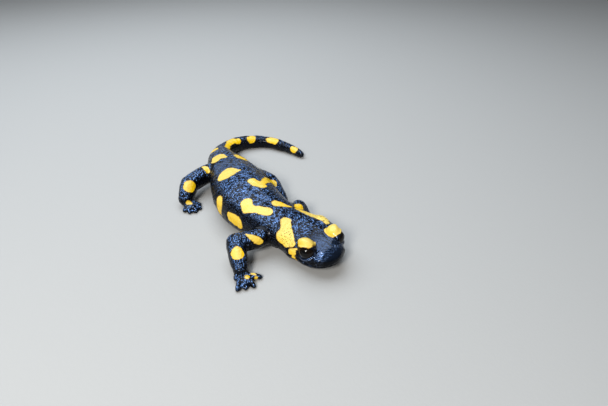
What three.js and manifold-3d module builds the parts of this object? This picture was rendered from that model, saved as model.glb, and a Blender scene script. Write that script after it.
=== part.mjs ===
// A fire salamander (Salamandra salamandra), life size, as a still museum model.
// It crouches in mid-step: belly and tail on the floor, trunk bowed to its right, head a little raised,
// right legs out to the side, left hind leg drawn forward, and the tail curled round to its left.
// Millimetres. +X runs from the pelvis to the head, +Y to the animal's left, +Z up, floor at z = 0.
import * as THREE from 'three';
import { mergeVertices } from 'three/addons/utils/BufferGeometryUtils.js';
import Module from 'manifold-3d';

const wasm = await Module();
wasm.setup();

// ---------------------------------------------------------------- driving dimensions

const GAP = 0.3; // between neighbouring pieces
const WELD = 0.01; // slivers that a cut leaves are thinner than this, and close up
const SNOUT_ROUND = 8.6; // length over which the blunt snout reaches its full width
const TAIL_ROUND = 3.4; // the same at the tail's tip
const SECTION_SIDES = 0.9; // exponents of the body's section: 1 is an ellipse, less is squarer
const SECTION_BELLY = 0.8;

// The body from the snout to the tail's tip: the middle of the section, its half width,
// its height above and depth below the middle, and how many degrees its left side is rolled up,
// as the animal cocks its head.
const BODY = [
  { name: 'snout', at: [36.2, 7.9, 6.8], side: 8.3, up: 3.6, down: 5.4, roll: 5.0 },
  { name: 'eyes', at: [27.0, 7.9, 7.0], side: 9.3, up: 4.0, down: 5.9, roll: 5.0 },
  { name: 'cheek', at: [20.5, 7.8, 7.0], side: 11.0, up: 4.4, down: 6.8, roll: 4.5 },
  { name: 'neck', at: [13.5, 5.8, 7.2], side: 10.1, up: 4.9, down: 6.7, roll: 2.0 },
  { name: 'shoulder', at: [7.0, 2.9, 7.6], side: 10.4, up: 6.2, down: 7.3, roll: 0 },
  { name: 'chest', at: [-3.0, 0.4, 8.0], side: 11.9, up: 7.9, down: 7.9, roll: 0 },
  { name: 'belly', at: [-14.0, 0.2, 8.2], side: 12.9, up: 8.4, down: 8.6, roll: 0 },
  { name: 'loin', at: [-27.0, 3.0, 8.0], side: 12.0, up: 7.7, down: 8.3, roll: 0 },
  { name: 'pelvis', at: [-39.0, 5.5, 7.2], side: 10.0, up: 6.2, down: 6.4, roll: 0 },
  { name: 'vent', at: [-50.2, 7.3, 6.3], side: 7.9, up: 5.5, down: 5.8, roll: 0 },
  { name: 'tail root', at: [-59.4, 10.4, 5.1], side: 5.3, up: 4.6, down: 5.0, roll: 0 },
  { name: 'first bend', at: [-65.6, 15.8, 4.1], side: 4.0, up: 3.7, down: 4.2, roll: 0 },
  { name: 'outer bend', at: [-69.0, 25.2, 3.6], side: 3.4, up: 3.4, down: 3.7, roll: 0 },
  { name: 'mid tail', at: [-64.8, 37.0, 3.0], side: 2.9, up: 2.9, down: 3.1, roll: 0 },
  { name: 'thin tail', at: [-54.5, 43.6, 2.6], side: 2.5, up: 2.5, down: 2.7, roll: 0 },
  { name: 'tail tip', at: [-42.0, 47.3, 1.8], side: 1.8, up: 1.7, down: 1.9, roll: 0 },
];

// The pieces of the body, and how far along it each one ends, in mm from the snout.
const PIECES = [
  { name: 'head', ends: 22 },
  { name: 'neck', ends: 30 },
  { name: 'trunk_front', ends: 53 },
  { name: 'trunk_rear', ends: 78 },
  { name: 'tail_root', ends: 98 },
  { name: 'tail_bend', ends: 124 },
  { name: 'tail_end', ends: Infinity },
];

// On the head: distances back from the snout's tip, out from the midline, and above the floor.
const EYE = { back: 8.1, out: 6.1, height: 9.1, radius: 3.1 };
const LID = { back: 8.9, out: 6.5, height: 10.7, size: [3.5, 3.3, 2.8] };
const EYE_ROLL = 2; // degrees that the left eye and lid are rolled up over the right ones
const PAROTOID = { back: 16.9, out: 6.9, height: 8.2, size: [6.2, 3.2, 2.8] };
const MOUTH = { height: 5.4, slope: 0.06, corner: 14.5 };

// Each leg: the points its bones run through and its half thickness at each.
// Its palm lies further on in the foot's heading. Toes spread from the palm's middle:
// their directions in degrees from +X towards +Y, and their lengths.
const LEGS = {
  fore_right: {
    joints: [[8.5, -1.0, 7.0], [10.6, -8.2, 7.1], [8.4, -16.3, 7.3], [17.6, -19.4, 3.2]],
    thick: [3.4, 3.3, 3.5, 2.8],
    foot: { heading: -12, ahead: 2.0, size: [2.8, 3.3, 1.5] },
    toes: [[-44, 6.2], [-16, 5.6], [14, 6.3], [60, 6.6]],
  },
  fore_left: {
    joints: [[8.4, 4.0, 7.0], [6.4, 10.0, 7.7], [2.8, 14.8, 7.7], [6.4, 16.0, 3.2]],
    thick: [3.4, 3.3, 3.1, 2.4],
    foot: { heading: 10, ahead: 1.8, size: [2.6, 2.7, 1.5] },
    toes: [[50, 5.0], [18, 6.0], [-12, 5.6], [-44, 4.4]],
  },
  hind_right: {
    joints: [[-43.0, 3.0, 6.8], [-43.0, -4.4, 7.2], [-39.3, -14.5, 7.2], [-35.2, -18.5, 3.2]],
    thick: [4.2, 4.0, 3.8, 3.1],
    foot: { heading: 20, ahead: 2.6, size: [3.2, 3.0, 1.5] },
    toes: [[-58, 4.6], [-26, 5.4], [2, 5.8], [32, 5.4], [66, 4.4]],
  },
  hind_left: {
    joints: [[-42.0, 8.0, 6.4], [-36.8, 11.2, 6.4], [-19.6, 14.6, 8.2], [-11.4, 15.4, 3.2]],
    thick: [4.0, 3.6, 3.7, 2.7],
    foot: { heading: 6, ahead: 2.4, size: [3.2, 3.0, 1.5] },
    toes: [[66, 4.0], [36, 5.2], [10, 5.8], [-16, 5.4], [-50, 4.0]],
  },
};
const TOE = { root: 1.2, tip: 0.85, knuckle: 1.3, low: 0.4 }; // half thicknesses, and heights of its middle

// ---------------------------------------------------------------- fineness

const BODY_SIDES = 20; // facets round each loft
const LEG_SIDES = 10;
const TOE_SIDES = 6;
const BODY_FACET = 3; // length of a facet along the body
const THIGH_RINGS = 6;
const SHANK_RINGS = 2;
const TOE_RINGS = 4;

// ---------------------------------------------------------------- solids

// A closed geometry as a manifold solid. Points closer than the weld become one,
// and triangles that shrink to nothing are dropped.
function solid(geometry, weld = 1e-3) {
  const bare = new THREE.BufferGeometry();
  bare.setAttribute('position', geometry.getAttribute('position'));
  bare.setIndex(geometry.index);
  const merged = mergeVertices(bare, weld);
  const kept = [];
  const index = merged.index.array;
  for (let i = 0; i < index.length; i += 3) {
    const [a, b, c] = index.subarray(i, i + 3);
    if (a !== b && b !== c && c !== a) kept.push(a, b, c);
  }
  return new wasm.Manifold(new wasm.Mesh({
    numProp: 3,
    vertProperties: merged.getAttribute('position').array,
    triVerts: new Uint32Array(kept),
  }));
}

function geometryOf(made) {
  const { numProp, vertProperties, triVerts } = made.getMesh();
  const geometry = new THREE.BufferGeometry();
  geometry.setAttribute('position', new THREE.BufferAttribute(vertProperties, numProp));
  geometry.setIndex(new THREE.BufferAttribute(triVerts, 1));
  return geometry;
}

// A drum whose wall is drawn along a path: place(t, angle, reach) is the point at share t of the way,
// at that angle round the path, where reach is 1 on the skin and 0 in the middle of an end cap.
function loft(sides, rings, place) {
  const drum = new THREE.CylinderGeometry(1, 1, 1, sides, rings);
  const points = drum.getAttribute('position');
  const point = new THREE.Vector3();
  for (let i = 0; i < points.count; i++) {
    point.fromBufferAttribute(points, i);
    const placed = place(point.y + 0.5, Math.atan2(point.z, point.x), Math.hypot(point.x, point.z));
    points.setXYZ(i, placed.x, placed.y, placed.z);
  }
  return solid(drum);
}

function ball(size, turn, centre, sides = 14) {
  const geometry = new THREE.SphereGeometry(1, sides, Math.round(sides / 1.6));
  geometry.scale(...size);
  geometry.rotateZ(turn);
  geometry.translate(centre.x, centre.y, centre.z);
  return solid(geometry);
}

// What lies ahead of a plane through a point, and not within a distance of the plane.
function ahead(made, point, normal, distance = 0) {
  const n = normal.clone().normalize();
  return made.trimByPlane(n.toArray(), n.dot(point) + distance);
}

// The largest of the separate bodies that a cut may leave.
function largest(made) {
  return made.decompose().reduce((best, body) => (body.volume() > best.volume() ? body : best));
}

// The floor leaves a flat wherever a piece is pressed on it.
function onFloor(made) {
  return made.trimByPlane([0, 0, 1], 0);
}

const rounding = (s, length) => (s < length ? Math.sqrt(Math.max(0, 1 - (1 - s / length) ** 2)) : 1);
const squared = (value, exponent) => Math.sign(value) * Math.abs(value) ** exponent;
const eased = (t) => t * t * (3 - 2 * t);
const crowded = (t) => t - 0.8 * t * (1 - t) ** 3; // draws facets together towards 0, to round an end
const vector = (xyz) => new THREE.Vector3(...xyz);
const heading = (degrees) => new THREE.Vector3(1, 0, 0).applyAxisAngle(UP, THREE.MathUtils.degToRad(degrees));

// ---------------------------------------------------------------- the body

const UP = new THREE.Vector3(0, 0, 1);
const spine = new THREE.CatmullRomCurve3(BODY.map(({ at }) => vector(at)), false, 'centripetal');
spine.arcLengthDivisions = 800;
const spineLength = spine.getLength();

// The sizes of the section at a share of the spine, eased between the stations on either side.
function sectionAt(share) {
  const last = BODY.length - 1;
  const place = spine.getUtoTmapping(share) * last;
  const i = Math.min(Math.floor(place), last - 1);
  const t = place - i;
  const [a, b, c, d] = [BODY[Math.max(i - 1, 0)], BODY[i], BODY[i + 1], BODY[Math.min(i + 2, last)]];
  const size = (key) => (
    b[key] * (1 - eased(t)) + c[key] * eased(t)
    + ((c[key] - a[key]) / 2) * t * (1 - t) ** 2
    - ((d[key] - b[key]) / 2) * t ** 2 * (1 - t)
  );
  return { side: size('side'), up: size('up'), down: size('down'), roll: size('roll') };
}

// The body between two distances from the snout, swollen by so many mm.
function bodyPiece(from, to, swollen = 0) {
  const rings = Math.max(3, Math.round((to - from) / BODY_FACET));
  return loft(BODY_SIDES, rings, (t, angle, reach) => {
    const share = from === 0 ? crowded(t) : 1 - crowded(1 - t);
    const s = from + (to - from) * (from === 0 || to === spineLength ? share : t);
    const middle = spine.getPointAt(s / spineLength);
    const along = spine.getTangentAt(s / spineLength).setZ(0).normalize();
    const { side, up, down, roll } = sectionAt(s / spineLength);
    const top = UP.clone().applyAxisAngle(along, THREE.MathUtils.degToRad(-roll));
    const left = new THREE.Vector3().crossVectors(along, top);
    const end = rounding(s, SNOUT_ROUND) * rounding(spineLength - s, TAIL_ROUND);
    const across = (side * end + swollen) * squared(Math.cos(angle), SECTION_SIDES);
    const high = Math.sin(angle) > 0
      ? (up * end + swollen) * squared(Math.sin(angle), SECTION_SIDES)
      : (down * end + swollen) * squared(Math.sin(angle), SECTION_BELLY);
    return middle.addScaledVector(left, reach * across).addScaledVector(top, reach * high);
  });
}

const pieces = new Map();
let done = 0;
for (const { name, ends } of PIECES) {
  const from = done === 0 ? 0 : done + GAP / 2;
  const to = ends === Infinity ? spineLength : ends - GAP / 2;
  pieces.set(name, onFloor(bodyPiece(from, to)));
  done = ends;
}
const aroundBody = bodyPiece(0, spineLength, GAP);

// ---------------------------------------------------------------- head: glands, lids, eyes and jaw

const FORWARD = new THREE.Vector3(1, 0, 0);
const snout = vector(BODY[0].at);
const HEAD_MIDDLE = BODY[1].at[2];
const HEAD_ROLL = THREE.MathUtils.degToRad(BODY[1].roll);

// A place given on the head, turned with the head's roll or another.
function onHead({ back, out, height }, side, roll = HEAD_ROLL) {
  const off = new THREE.Vector3(-back, side * out, height - HEAD_MIDDLE).applyAxisAngle(FORWARD, roll);
  return off.add(new THREE.Vector3(snout.x, snout.y, HEAD_MIDDLE));
}

const eyeRoll = THREE.MathUtils.degToRad(EYE_ROLL);
const nape = spine.getPointAt((PIECES[0].ends - GAP / 2) / spineLength);
const offNape = spine.getTangentAt((PIECES[0].ends - GAP / 2) / spineLength).setZ(0).negate();
let head = pieces.get('head');
for (const side of [1, -1]) {
  head = head.add(ball(LID.size, 0, onHead(LID, side, eyeRoll), 11));
  const gland = ball(PAROTOID.size, side * -0.12, onHead(PAROTOID, side), 11);
  head = head.add(ahead(gland, nape, offNape));
}
for (const [name, side] of [['eye_left', 1], ['eye_right', -1]]) {
  const centre = onHead(EYE, side, eyeRoll);
  const round = [EYE.radius, EYE.radius, EYE.radius];
  pieces.set(name, ball(round, 0, centre));
  head = head.subtract(ball(round.map((r) => r + GAP), 0, centre));
}

const mouth = onHead({ back: 0, out: 0, height: MOUTH.height }, 1);
const mouthUp = new THREE.Vector3(MOUTH.slope, 0, 1).applyAxisAngle(FORWARD, HEAD_ROLL);
const corner = new THREE.Vector3(snout.x - MOUTH.corner, snout.y, 0);
const jaw = ahead(ahead(head, mouth, mouthUp.clone().negate(), GAP / 2), corner, FORWARD, GAP / 2);
const behindJaw = ahead(head, corner, FORWARD.clone().negate(), GAP / 2);
const skull = ahead(head, mouth, mouthUp, GAP / 2).add(behindJaw);
pieces.set('head', largest(skull));
pieces.set('lower_jaw', largest(jaw));

// ---------------------------------------------------------------- legs

// A tapering limb through some joints, with its half thickness at each and its end rounded over a length.
function limb(sides, rings, joints, thick, tip = 0) {
  const bones = new THREE.CatmullRomCurve3(joints, false, 'centripetal');
  return loft(sides, rings, (share, angle, reach) => {
    const t = tip > 0 ? 1 - crowded(1 - share) : share;
    const middle = bones.getPoint(t);
    const along = bones.getTangent(t);
    const across = new THREE.Vector3().crossVectors(along, UP).normalize();
    const over = new THREE.Vector3().crossVectors(across, along);
    const place = Math.min(Math.floor(t * (thick.length - 1)), thick.length - 2);
    const onward = eased(t * (thick.length - 1) - place);
    const radius = THREE.MathUtils.lerp(thick[place], thick[place + 1], onward);
    const end = rounding((1 - t) * bones.getLength(), tip);
    return middle
      .addScaledVector(across, reach * radius * end * Math.cos(angle))
      .addScaledVector(over, reach * radius * end * Math.sin(angle));
  });
}

function toe(root, degrees, length) {
  const out = heading(degrees);
  const knuckle = root.clone().addScaledVector(out, 0.6 * length).setZ(TOE.knuckle);
  const tip = root.clone().addScaledVector(out, length + TOE.tip / 2).setZ(TOE.low);
  return limb(TOE_SIDES, TOE_RINGS, [root, knuckle, tip], [TOE.root, TOE.root, TOE.tip], TOE.tip);
}

// The way a limb heads at a joint: halfway between the bones that meet there.
function headingAt(before, joint, after) {
  const arriving = joint.clone().sub(before).normalize();
  return arriving.add(after.clone().sub(joint).normalize()).normalize();
}

for (const [name, { joints, thick, foot, toes }] of Object.entries(LEGS)) {
  const [root, hip, knee, ankle] = joints.map(vector);
  const palm = ankle.clone().addScaledVector(heading(foot.heading), foot.ahead).setZ(foot.size[2] - 0.1);
  const offKnee = headingAt(hip, knee, ankle);
  const offAnkle = headingAt(knee, ankle, palm);
  const kneecap = ball([thick[2], thick[2], thick[2]], 0, knee, LEG_SIDES);
  const heel = ball([thick[3], thick[3], thick[3]], 0, ankle, LEG_SIDES);
  const thigh = limb(LEG_SIDES, THIGH_RINGS, [root, hip, knee], thick.slice(0, 3));
  const shank = limb(LEG_SIDES, SHANK_RINGS, [knee, ankle], thick.slice(2));
  const instep = limb(LEG_SIDES, 1, [ankle, palm], [thick[3], foot.size[2]]);

  const upper = ahead(thigh.add(kneecap), knee, offKnee.clone().negate(), GAP / 2);
  const lowerEnd = ahead(shank.add(heel), ankle, offAnkle.clone().negate(), GAP / 2);
  const lower = ahead(lowerEnd.add(kneecap), knee, offKnee, GAP / 2);
  const sole = ball(foot.size, THREE.MathUtils.degToRad(foot.heading), palm, LEG_SIDES);
  let paw = instep.add(heel).add(sole);
  for (const [degrees, length] of toes) paw = paw.add(toe(palm, degrees, length));

  pieces.set(`${name}_upper`, largest(onFloor(upper.subtract(aroundBody))));
  pieces.set(`${name}_lower`, largest(onFloor(lower.subtract(aroundBody))));
  pieces.set(`${name}_foot`, largest(onFloor(ahead(paw, ankle, offAnkle, GAP / 2))));
}

// ---------------------------------------------------------------- the model

const SKIN = { name: 'wet_black_skin', color: 0x17181b, roughness: 0.35, metalness: 0 };
const EYEBALL = { name: 'wet_black_eye', color: 0x060505, roughness: 0.05, metalness: 0 };
const model = new THREE.Group();
model.name = 'fire_salamander';
for (const [name, made] of pieces) {
  const geometry = geometryOf(solid(geometryOf(made), WELD));
  geometry.computeVertexNormals();
  const finish = name.startsWith('eye') ? EYEBALL : SKIN;
  const piece = new THREE.Mesh(geometry, new THREE.MeshStandardMaterial(finish));
  piece.name = name;
  model.add(piece);
}

// The model's origin is the middle of its footprint, on the floor.
const footprint = new THREE.Box3().setFromObject(model).getCenter(new THREE.Vector3());
model.position.set(-footprint.x, -footprint.y, 0);

export default model;
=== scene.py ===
"""A fire salamander, life size, as a still museum model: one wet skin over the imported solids, and two eyes.
Lengths are millimetres with +X ahead, +Y to the animal's left and the floor at z = 0, and a finished
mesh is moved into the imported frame, which is in metres."""
import math

import bmesh
import bpy
import numpy as np
from mathutils import Matrix, Vector, noise


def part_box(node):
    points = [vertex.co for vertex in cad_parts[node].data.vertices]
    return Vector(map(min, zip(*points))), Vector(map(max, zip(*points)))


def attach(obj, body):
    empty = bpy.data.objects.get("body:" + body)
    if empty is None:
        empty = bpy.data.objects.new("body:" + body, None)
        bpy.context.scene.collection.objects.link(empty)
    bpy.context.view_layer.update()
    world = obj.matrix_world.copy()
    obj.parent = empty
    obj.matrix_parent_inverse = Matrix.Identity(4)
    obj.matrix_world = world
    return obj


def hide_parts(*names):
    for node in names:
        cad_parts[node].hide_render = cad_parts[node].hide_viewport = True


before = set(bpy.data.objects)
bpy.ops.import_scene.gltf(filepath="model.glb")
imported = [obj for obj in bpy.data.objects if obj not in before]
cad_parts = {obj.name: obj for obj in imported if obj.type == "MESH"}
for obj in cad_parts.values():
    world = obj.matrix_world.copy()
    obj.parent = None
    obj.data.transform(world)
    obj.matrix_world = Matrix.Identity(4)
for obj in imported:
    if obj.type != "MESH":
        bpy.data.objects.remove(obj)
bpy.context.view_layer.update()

# ---------------------------------------------------------------- camera
# It stands in front of the animal's right shoulder, a hand's breadth above the floor, and looks down
# on the back with a short lens, so the head is large and the tail small.
camera_data = bpy.data.cameras.new("camera")
camera_data.sensor_width = 36
camera_data.lens = 26.64
camera_data.clip_start = 0.005
camera = bpy.data.objects.new("camera", camera_data)
camera.location = (0.14527, -0.07853, 0.110)
camera.rotation_euler = (math.radians(56), 0, math.radians(56))
bpy.context.scene.collection.objects.link(camera)
bpy.context.scene.camera = camera
bpy.context.scene.view_settings.view_transform = "Standard"

# ---------------------------------------------------------------- floor and lights
# A pale matt table top under a large cool softbox that stands in for an overcast sky. It reaches over
# and behind the animal, so the wet back shines towards the camera and the near flank stays dark. A
# small warm box in front fills in the near side.
FLOOR_REACH = 3.0


def principled(name):
    """A new material with its Principled BSDF."""
    material = bpy.data.materials.new(name)
    material.use_nodes = True
    return material, material.node_tree.nodes["Principled BSDF"]


def node(material, kind, settings=(), **inputs):
    """A shader node with its settings, and with a value or a link for each input named."""
    made = material.node_tree.nodes.new("ShaderNode" + kind)
    for key, value in dict(settings).items():
        setattr(made, key, value)
    for key, value in inputs.items():
        socket = made.inputs[int(key[1:])] if key[1:].isdigit() else made.inputs[key.replace("_", " ")]
        if isinstance(value, bpy.types.NodeSocket):
            material.node_tree.links.new(value, socket)
        else:
            socket.default_value = value
    return made


matt_board, board_shader = principled("matt_board")
board_place = node(matt_board, "TexCoord")
board_grain = node(matt_board, "TexNoise", Vector=board_place.outputs["Object"], Scale=900.0, Detail=3.0)
board_bump = node(matt_board, "Bump", Height=board_grain.outputs["Fac"], Strength=0.15, Distance=0.0002)
matt_board.node_tree.links.new(board_bump.outputs["Normal"], board_shader.inputs["Normal"])
board_shader.inputs["Base Color"].default_value = (0.36, 0.36, 0.355, 1)
board_shader.inputs["Roughness"].default_value = 0.8

floor_mesh = bmesh.new()
bmesh.ops.create_grid(floor_mesh, x_segments=2, y_segments=2, size=FLOOR_REACH)
bmesh.ops.translate(floor_mesh, verts=floor_mesh.verts, vec=(0, 0, -0.00005))
floor = bpy.data.objects.new("floor", bpy.data.meshes.new("floor"))
floor_mesh.to_mesh(floor.data)
floor_mesh.free()
floor.data.materials.append(matt_board)
bpy.context.scene.collection.objects.link(floor)


def softbox(name, place, size, colour, watts):
    """A rectangular area light that faces the animal."""
    data = bpy.data.lights.new(name, "AREA")
    data.shape = "RECTANGLE"
    data.size, data.size_y = size
    data.color = colour
    data.energy = watts
    light = bpy.data.objects.new(name, data)
    light.location = place
    light.rotation_euler = (-Vector(place)).to_track_quat("-Z", "Y").to_euler()
    bpy.context.scene.collection.objects.link(light)


softbox("sky_box", (-0.18, -0.02, 0.44), (0.56, 0.56), (0.86, 0.93, 1.0), 4.0)
softbox("front_fill", (0.25, -0.30, 0.30), (0.12, 0.12), (1.0, 0.97, 0.92), 2.2)
world = bpy.data.worlds.new("studio")
world.use_nodes = True
world.node_tree.nodes["Background"].inputs["Color"].default_value = (0.82, 0.85, 0.88, 1)
world.node_tree.nodes["Background"].inputs["Strength"].default_value = 0.15
bpy.context.scene.world = world

# ---------------------------------------------------------------- skin: trunk and tail
# The body is one barrel from the blunt snout to the thin round tail, squarish in section and flat
# under the belly. Each station has its place, half width, height above it, depth below it, and how
# many degrees its left side is rolled up, as the animal cocks its head.
BODY = [
    ("snout", (36.2, 7.9, 6.8), 8.3, 3.6, 5.4, 5.0),
    ("eyes", (27.0, 7.9, 7.0), 9.3, 4.0, 5.9, 5.0),
    ("cheek", (20.5, 7.8, 7.0), 11.0, 4.4, 6.8, 4.5),
    ("neck", (13.5, 5.8, 7.2), 10.1, 4.9, 6.7, 2.0),
    ("shoulder", (7.0, 2.9, 7.6), 10.4, 6.2, 7.3, 0.0),
    ("chest", (-3.0, 0.4, 8.0), 11.9, 7.9, 7.9, 0.0),
    ("belly", (-14.0, 0.2, 8.2), 12.9, 8.4, 8.6, 0.0),
    ("loin", (-27.0, 3.0, 8.0), 12.0, 7.7, 8.3, 0.0),
    ("pelvis", (-39.0, 5.5, 7.2), 10.0, 6.2, 6.4, 0.0),
    ("vent", (-50.2, 7.3, 6.3), 7.9, 5.5, 5.8, 0.0),
    ("tail root", (-59.4, 10.4, 5.1), 5.3, 4.6, 5.0, 0.0),
    ("first bend", (-65.6, 15.8, 4.1), 4.0, 3.7, 4.2, 0.0),
    ("outer bend", (-69.0, 25.2, 3.6), 3.4, 3.4, 3.7, 0.0),
    ("mid tail", (-64.8, 37.0, 3.0), 2.9, 2.9, 3.1, 0.0),
    ("thin tail", (-54.5, 43.6, 2.6), 2.5, 2.5, 2.7, 0.0),
    ("tail tip", (-42.0, 47.3, 1.8), 1.8, 1.7, 1.9, 0.0),
]
SNOUT_ROUND = 8.6  # the length over which each end of the body is rounded
TAIL_ROUND = 3.4
SECTION_SIDES = 0.9  # powers of the section's sine and cosine: 1 is an ellipse, and less is squarer
SECTION_BELLY = 0.8
CROWDING = 0.85  # how strongly the rings of a round form are drawn together towards its ends
UP = np.array([0.0, 0.0, 1.0])


def unit(vectors):
    """Vectors of length 1."""
    return vectors / np.maximum(np.linalg.norm(vectors, axis=-1, keepdims=True), 1e-9)


class Path:
    """A smooth curve through some points, measured in mm from its first point."""

    def __init__(self, points, steps=60):
        known = np.array(points, float)
        known = np.vstack([2 * known[0] - known[1], known, 2 * known[-1] - known[-2]])
        t = np.linspace(0, 1, steps, endpoint=False)[:, None]
        spans = []
        for a, b, c, d in zip(known, known[1:], known[2:], known[3:]):
            before, here, after = (math.sqrt(np.linalg.norm(q - p)) for p, q in ((a, b), (b, c), (c, d)))
            leave = ((b - a) / before - (c - a) / (before + here) + (c - b) / here) * here
            arrive = ((c - b) / here - (d - b) / (here + after) + (d - c) / after) * here
            curve = b + leave * t + (3 * (c - b) - 2 * leave - arrive) * t**2
            spans.append(curve + (2 * (b - c) + leave + arrive) * t**3)
        self.points = np.vstack([*spans, known[-2:-1]])
        steps_along = np.linalg.norm(np.diff(self.points, axis=0), axis=1)
        self.distance = np.concatenate([[0], np.cumsum(steps_along)])
        self.station = np.linspace(0, len(points) - 1, len(self.points))
        self.heading = unit(np.gradient(self.points, axis=0))
        self.length = self.distance[-1]

    def at(self, s, values):
        """Values kept along the path, such as its points or headings, at a distance s."""
        columns = [np.interp(s, self.distance, column) for column in np.atleast_2d(values.T)]
        return np.stack(columns, -1) if values.ndim > 1 else columns[0]

    def nearest(self, points, weights=(1, 1, 1)):
        """The index of the sample that is closest to each point."""
        scale = np.sqrt(np.array(weights, float))
        samples = self.points * scale
        found = [
            ((part[:, None] * scale - samples[None]) ** 2).sum(-1).argmin(1)
            for part in np.array_split(points, max(1, len(points) // 2000))
        ]
        return np.concatenate(found)


def rounding(s, length):
    """How far an end that is rounded over a length has reached its full width."""
    return np.sqrt(np.clip(1 - np.clip(1 - s / length, 0, 1) ** 2, 0, 1))


def signed_power(value, exponent):
    return np.sign(value) * np.abs(value) ** exponent


def eased(t):
    t = np.clip(t, 0, 1)
    return t * t * (3 - 2 * t)


def between(value, low, high):
    """0 below low and 1 above high, smooth between them."""
    return eased((value - low) / (high - low))


def bump(value, middle, reach):
    """1 at the middle, falling smoothly to nothing within about twice the reach."""
    return np.exp(-(((value - middle) / reach) ** 2))


spine = Path([place for _, place, *_ in BODY])
STATIONS = np.array([sizes for _, _, *sizes in BODY])


def section(station):
    """The half width, height, depth and roll of the body at a station number, eased between stations."""
    last = len(BODY) - 1
    low = np.minimum(np.floor(station).astype(int), last - 1)
    t = (station - low)[..., None]
    a, b, c, d = (STATIONS[np.clip(low + k, 0, last)] for k in (-1, 0, 1, 2))
    run_on = (c - a) / 2 * t * (1 - t) ** 2 - (d - b) / 2 * t**2 * (1 - t)
    return np.moveaxis(b * (1 - eased(t)) + c * eased(t) + run_on, -1, 0)


def body_frame(s):
    """The middle of the body at a distance from the snout, and the ways to its left and its top there."""
    roll = np.radians(section(spine.at(s, spine.station))[3])[..., None]
    level = unit(np.cross(spine.at(s, spine.heading) * (1, 1, 0), UP))
    left = level * np.cos(roll) + UP * np.sin(roll)
    return spine.at(s, spine.points), left, UP * np.cos(roll) - level * np.sin(roll)


def on_body(s, angle):
    """The point on the body at a distance from the snout and an angle round it: 0 right, 90 the back."""
    side, up, down, _ = section(spine.at(s, spine.station))
    end = rounding(s, SNOUT_ROUND) * rounding(spine.length - s, TAIL_ROUND)
    middle, left, top = body_frame(s)
    across = -side * end * signed_power(np.cos(angle), SECTION_SIDES)
    sine = np.sin(angle)
    high = np.where(sine > 0, up * np.abs(sine) ** SECTION_SIDES, -down * np.abs(sine) ** SECTION_BELLY) * end
    return middle + left * across[..., None] + top * high[..., None]


def loft(shape, around, along, place):
    """Adds a closed round form to a bmesh: place gives the points at shares of the way and angles."""
    form = bmesh.new()
    bmesh.ops.create_uvsphere(form, u_segments=around, v_segments=along, radius=1)
    sphere = positions(form)
    share = np.arccos(np.clip(sphere[:, 2], -1, 1)) / math.pi
    angle = np.arctan2(sphere[:, 1], sphere[:, 0])
    for vertex, point in zip(form.verts, place(share, angle)):
        vertex.co = point
    add_form(shape, form)


def positions(shape):
    return np.array([vertex.co for vertex in shape.verts])


def add_form(shape, form):
    """Moves a finished form into the bmesh of all the flesh."""
    mesh = bpy.data.meshes.new("form")
    form.to_mesh(mesh)
    form.free()
    shape.from_mesh(mesh)
    bpy.data.meshes.remove(mesh)


def crowded(share):
    """Draws rings together towards both ends of a loft, which are round."""
    return share - CROWDING * np.sin(2 * math.pi * share) / (2 * math.pi)


flesh = bmesh.new()
loft(flesh, around=72, along=300, place=lambda share, angle: on_body(spine.length * crowded(share), angle))

# ---------------------------------------------------------------- skin: glands and lids
# Behind each eye lies a swollen parotoid gland, and a thick lid domes over each eyeball. Places are
# distances back from the snout's tip, out from the midline, and above the floor.
EYE = {"back": 8.1, "out": 6.1, "height": 9.1, "radius": 3.1, "roll": 2.0}
LID = {"back": 8.9, "out": 6.5, "height": 10.7, "size": (3.5, 3.3, 2.8), "roll": 2.0}
PAROTOID = {"back": 16.9, "out": 6.9, "height": 8.2, "size": (6.2, 3.2, 2.8), "turn": -7}
SNOUT = np.array(BODY[0][1])
HEAD_MIDDLE = BODY[1][1][2]
HEAD_ROLL = BODY[1][5]
SIDES = (1, -1)


def on_head(place, side):
    """A place given on the head, turned with the head's roll or with its own."""
    out, over = side * place["out"], place["height"] - HEAD_MIDDLE
    roll = math.radians(place.get("roll", HEAD_ROLL))
    return np.array([
        SNOUT[0] - place["back"],
        SNOUT[1] + out * math.cos(roll) - over * math.sin(roll),
        HEAD_MIDDLE + out * math.sin(roll) + over * math.cos(roll),
    ])


def ball(shape, centre, size, turn=0.0):
    """Adds an ellipsoid, turned in degrees about the vertical."""
    form = bmesh.new()
    bmesh.ops.create_uvsphere(form, u_segments=40, v_segments=28, radius=1)
    bmesh.ops.scale(form, verts=form.verts, vec=size)
    bmesh.ops.rotate(form, verts=form.verts, matrix=Matrix.Rotation(math.radians(turn), 3, "Z"))
    bmesh.ops.translate(form, verts=form.verts, vec=centre)
    add_form(shape, form)


for side in SIDES:
    ball(flesh, on_head(LID, side), LID["size"])
    ball(flesh, on_head(PAROTOID, side), PAROTOID["size"], PAROTOID["turn"] * side)

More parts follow.
